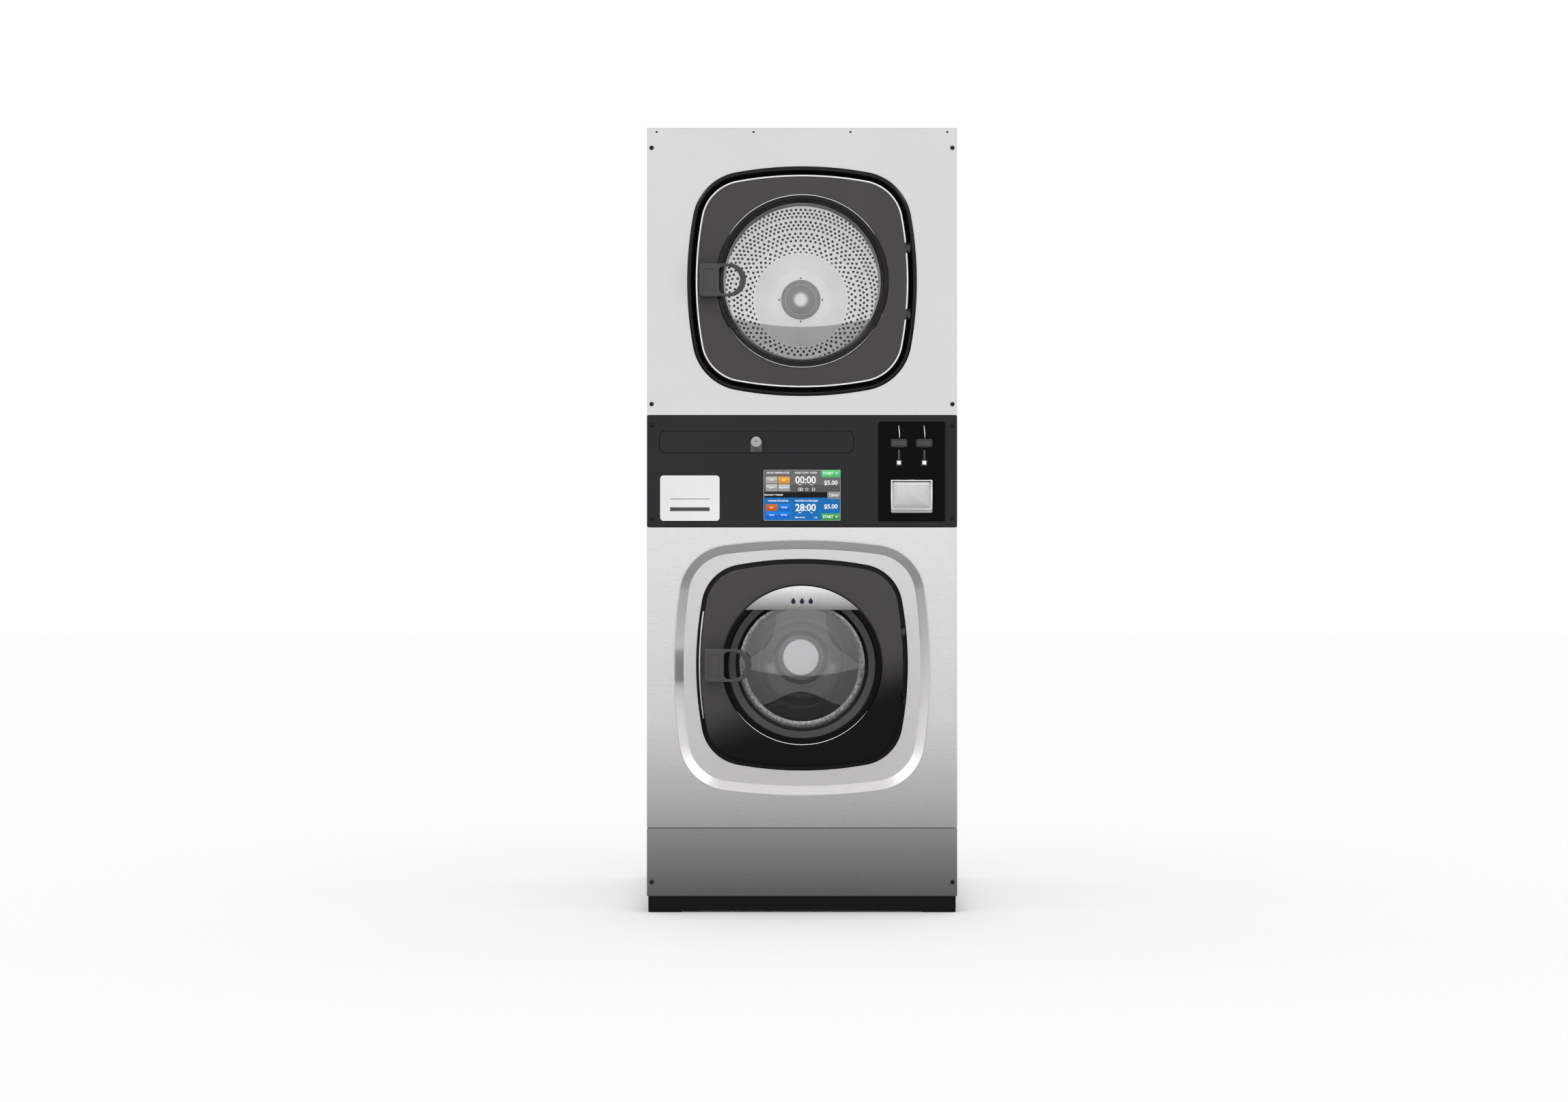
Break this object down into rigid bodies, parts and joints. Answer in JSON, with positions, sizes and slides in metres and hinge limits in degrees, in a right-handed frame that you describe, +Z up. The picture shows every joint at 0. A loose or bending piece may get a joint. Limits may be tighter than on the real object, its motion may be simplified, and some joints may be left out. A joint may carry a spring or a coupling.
{
  "type": "washer dryer stack",
  "caption": "Coin-operated stack of a front-loading washer under a tumble dryer, with bowed-square doors, round glasses and a shared control band.",
  "frame": {"origin": "on the floor, under the middle of the overall box", "axes": "+Z up, +X to the right of a person facing the machine, -Y towards that person"},
  "size_m": [0.785, 1.17, 1.985],
  "materials": {
    "panel_paint": "light grey powder coat, satin",
    "galvanised_sheet": "galvanised, dull",
    "brushed_stainless": "stainless, brushed across",
    "control_paint": "charcoal powder coat, fine texture",
    "base_paint": "black enamel",
    "door_charcoal": "charcoal, satin",
    "black_moulding": "black, glossy",
    "handle_plastic": "black, fine grained",
    "bright_trim": "polished",
    "silver_plate": "satin, anodised",
    "door_glass": "clear, toughened",
    "seal_rubber": "grey-black, matt",
    "drum_stainless": "stainless, satin",
    "lifter_plastic": "grey, satin",
    "zinc_steel": "zinc plated",
    "cast_grey": "cast, painted",
    "motor_alloy": "cast, dull",
    "black_screw": "black oxide",
    "white_fascia": "white, glossy",
    "screen_glass": "lit display behind glass",
    "service_plastic": "moulded"
  },
  "bodies": {
    "root": {"anchor_feet": "base_paint", "base_frame": "base_paint", "bearing_housings": "cast_grey", "blower_housing": "galvanised_sheet", "card_reader": "white_fascia", "chassis_frame": "galvanised_sheet", "coin_acceptors": "black_moulding", "coin_plate": "black_moulding", "control_panel": "control_paint", "door_hinges": "zinc_steel", "drain_valve": "service_plastic", "drive_belts": "seal_rubber", "drive_motors": "motor_alloy", "dryer_bezel": "black_moulding", "dryer_front_panel": "panel_paint", "dryer_tub": "galvanised_sheet", "heater_box": "galvanised_sheet", "kick_panel": "brushed_stainless", "left_side_panel": "panel_paint", "panel_screws": "black_screw", "rear_panel_lower": "galvanised_sheet", "rear_panel_upper": "galvanised_sheet", "right_side_panel": "panel_paint", "terminal_box": "service_plastic", "top_panel": "panel_paint", "touch_display": "screen_glass", "washer_bezel": "brushed_stainless", "washer_door_lock": "service_plastic", "washer_door_well": "black_moulding", "washer_front_panel": "brushed_stainless", "washer_gasket": "seal_rubber", "washer_tub": "drum_stainless", "water_inlet_valves": "service_plastic"},
    "washer_door": {"washer_door_frame": "door_charcoal", "washer_door_ring": "black_moulding", "washer_door_glass": "door_glass", "badge_plate": "silver_plate"},
    "washer_handle": {"washer_door_handle": "handle_plastic"},
    "dryer_door": {"dryer_door_frame": "door_charcoal", "dryer_door_ring": "black_moulding", "dryer_door_glass": "door_glass", "dryer_door_trim": "bright_trim", "dryer_door_seal": "seal_rubber", "dryer_door_handle": "handle_plastic"},
    "washer_drum": {"washer_drum": "drum_stainless", "washer_drum_lifters": "drum_stainless", "washer_drum_shaft": "zinc_steel"},
    "dryer_drum": {"dryer_drum": "drum_stainless", "dryer_drum_lifters": "lifter_plastic", "dryer_drum_shaft": "zinc_steel"},
    "washer_motor_pulley": {"washer_motor_pulley": "zinc_steel"},
    "dryer_motor_pulley": {"dryer_motor_pulley": "zinc_steel"},
    "blower_wheel": {"blower_wheel": "zinc_steel"},
    "lint_drawer": {"lint_drawer": "control_paint", "lint_screen": "drum_stainless"},
    "lint_lock": {"lint_lock_barrel": "bright_trim"},
    "coin_reject_left": {"coin_reject_button_left": "service_plastic"},
    "coin_reject_right": {"coin_reject_button_right": "service_plastic"},
    "coin_vault": {"coin_vault": "silver_plate"},
    "coin_vault_lock": {"coin_vault_lock": "bright_trim"}
  },
  "joints": [
    {"name": "washer_door_hinge", "type": "hinge", "parent": "root", "child": "washer_door", "pos_m": [0.25677, -0.529, 0.626], "axis": [0, 0, 1], "range_deg": [0, 150]},
    {"name": "dryer_door_hinge", "type": "hinge", "parent": "root", "child": "dryer_door", "pos_m": [0.27057, -0.541, 1.597], "axis": [0, 0, 1], "range_deg": [0, 150]},
    {"name": "washer_handle_pull", "type": "hinge", "parent": "washer_door", "child": "washer_handle", "pos_m": [-0.2329, -0.557, 0.626], "axis": [0, 0, -1], "range_deg": [0, 15], "stiffness_Nm_per_rad": 2},
    {"name": "washer_drum_spin", "type": "hinge", "parent": "root", "child": "washer_drum", "pos_m": [0, -0.135, 0.626], "axis": [0, 1, 0], "continuous": true},
    {"name": "dryer_drum_spin", "type": "hinge", "parent": "root", "child": "dryer_drum", "pos_m": [0, -0.135, 1.597], "axis": [0, 1, 0], "continuous": true},
    {"name": "washer_motor_spin", "type": "hinge", "parent": "root", "child": "washer_motor_pulley", "pos_m": [0.15, 0.345, 0.14], "axis": [0, 1, 0], "continuous": true},
    {"name": "dryer_motor_spin", "type": "hinge", "parent": "root", "child": "dryer_motor_pulley", "pos_m": [-0.24, 0.28, 1.345], "axis": [0, 1, 0], "continuous": true},
    {"name": "blower_spin", "type": "hinge", "parent": "root", "child": "blower_wheel", "pos_m": [0.19, 0.355, 1.1], "axis": [0, 1, 0], "continuous": true},
    {"name": "lint_drawer_slide", "type": "slide", "parent": "root", "child": "lint_drawer", "axis": [0, -1, 0], "range_m": [0, 0.38]},
    {"name": "lint_lock_turn", "type": "hinge", "parent": "lint_drawer", "child": "lint_lock", "pos_m": [-0.116, -0.535, 1.1905], "axis": [0, 1, 0], "range_deg": [0, 90]},
    {"name": "coin_reject_left_press", "type": "slide", "parent": "root", "child": "coin_reject_left", "axis": [0, 1, 0], "range_m": [0, 0.004], "stiffness_N_per_m": 300},
    {"name": "coin_reject_right_press", "type": "slide", "parent": "root", "child": "coin_reject_right", "axis": [0, 1, 0], "range_m": [0, 0.004], "stiffness_N_per_m": 300},
    {"name": "coin_vault_slide", "type": "slide", "parent": "root", "child": "coin_vault", "axis": [0, -1, 0], "range_m": [0, 0.15]},
    {"name": "coin_vault_lock_turn", "type": "hinge", "parent": "coin_vault", "child": "coin_vault_lock", "pos_m": [0.2772, -0.535, 1.0487], "axis": [0, 1, 0], "range_deg": [0, 90]}
  ],
  "couplings": [
    {"joint": "washer_motor_spin", "follows": "washer_drum_spin", "ratio": 4.5},
    {"joint": "dryer_motor_spin", "follows": "dryer_drum_spin", "ratio": 6.6667}
  ]
}
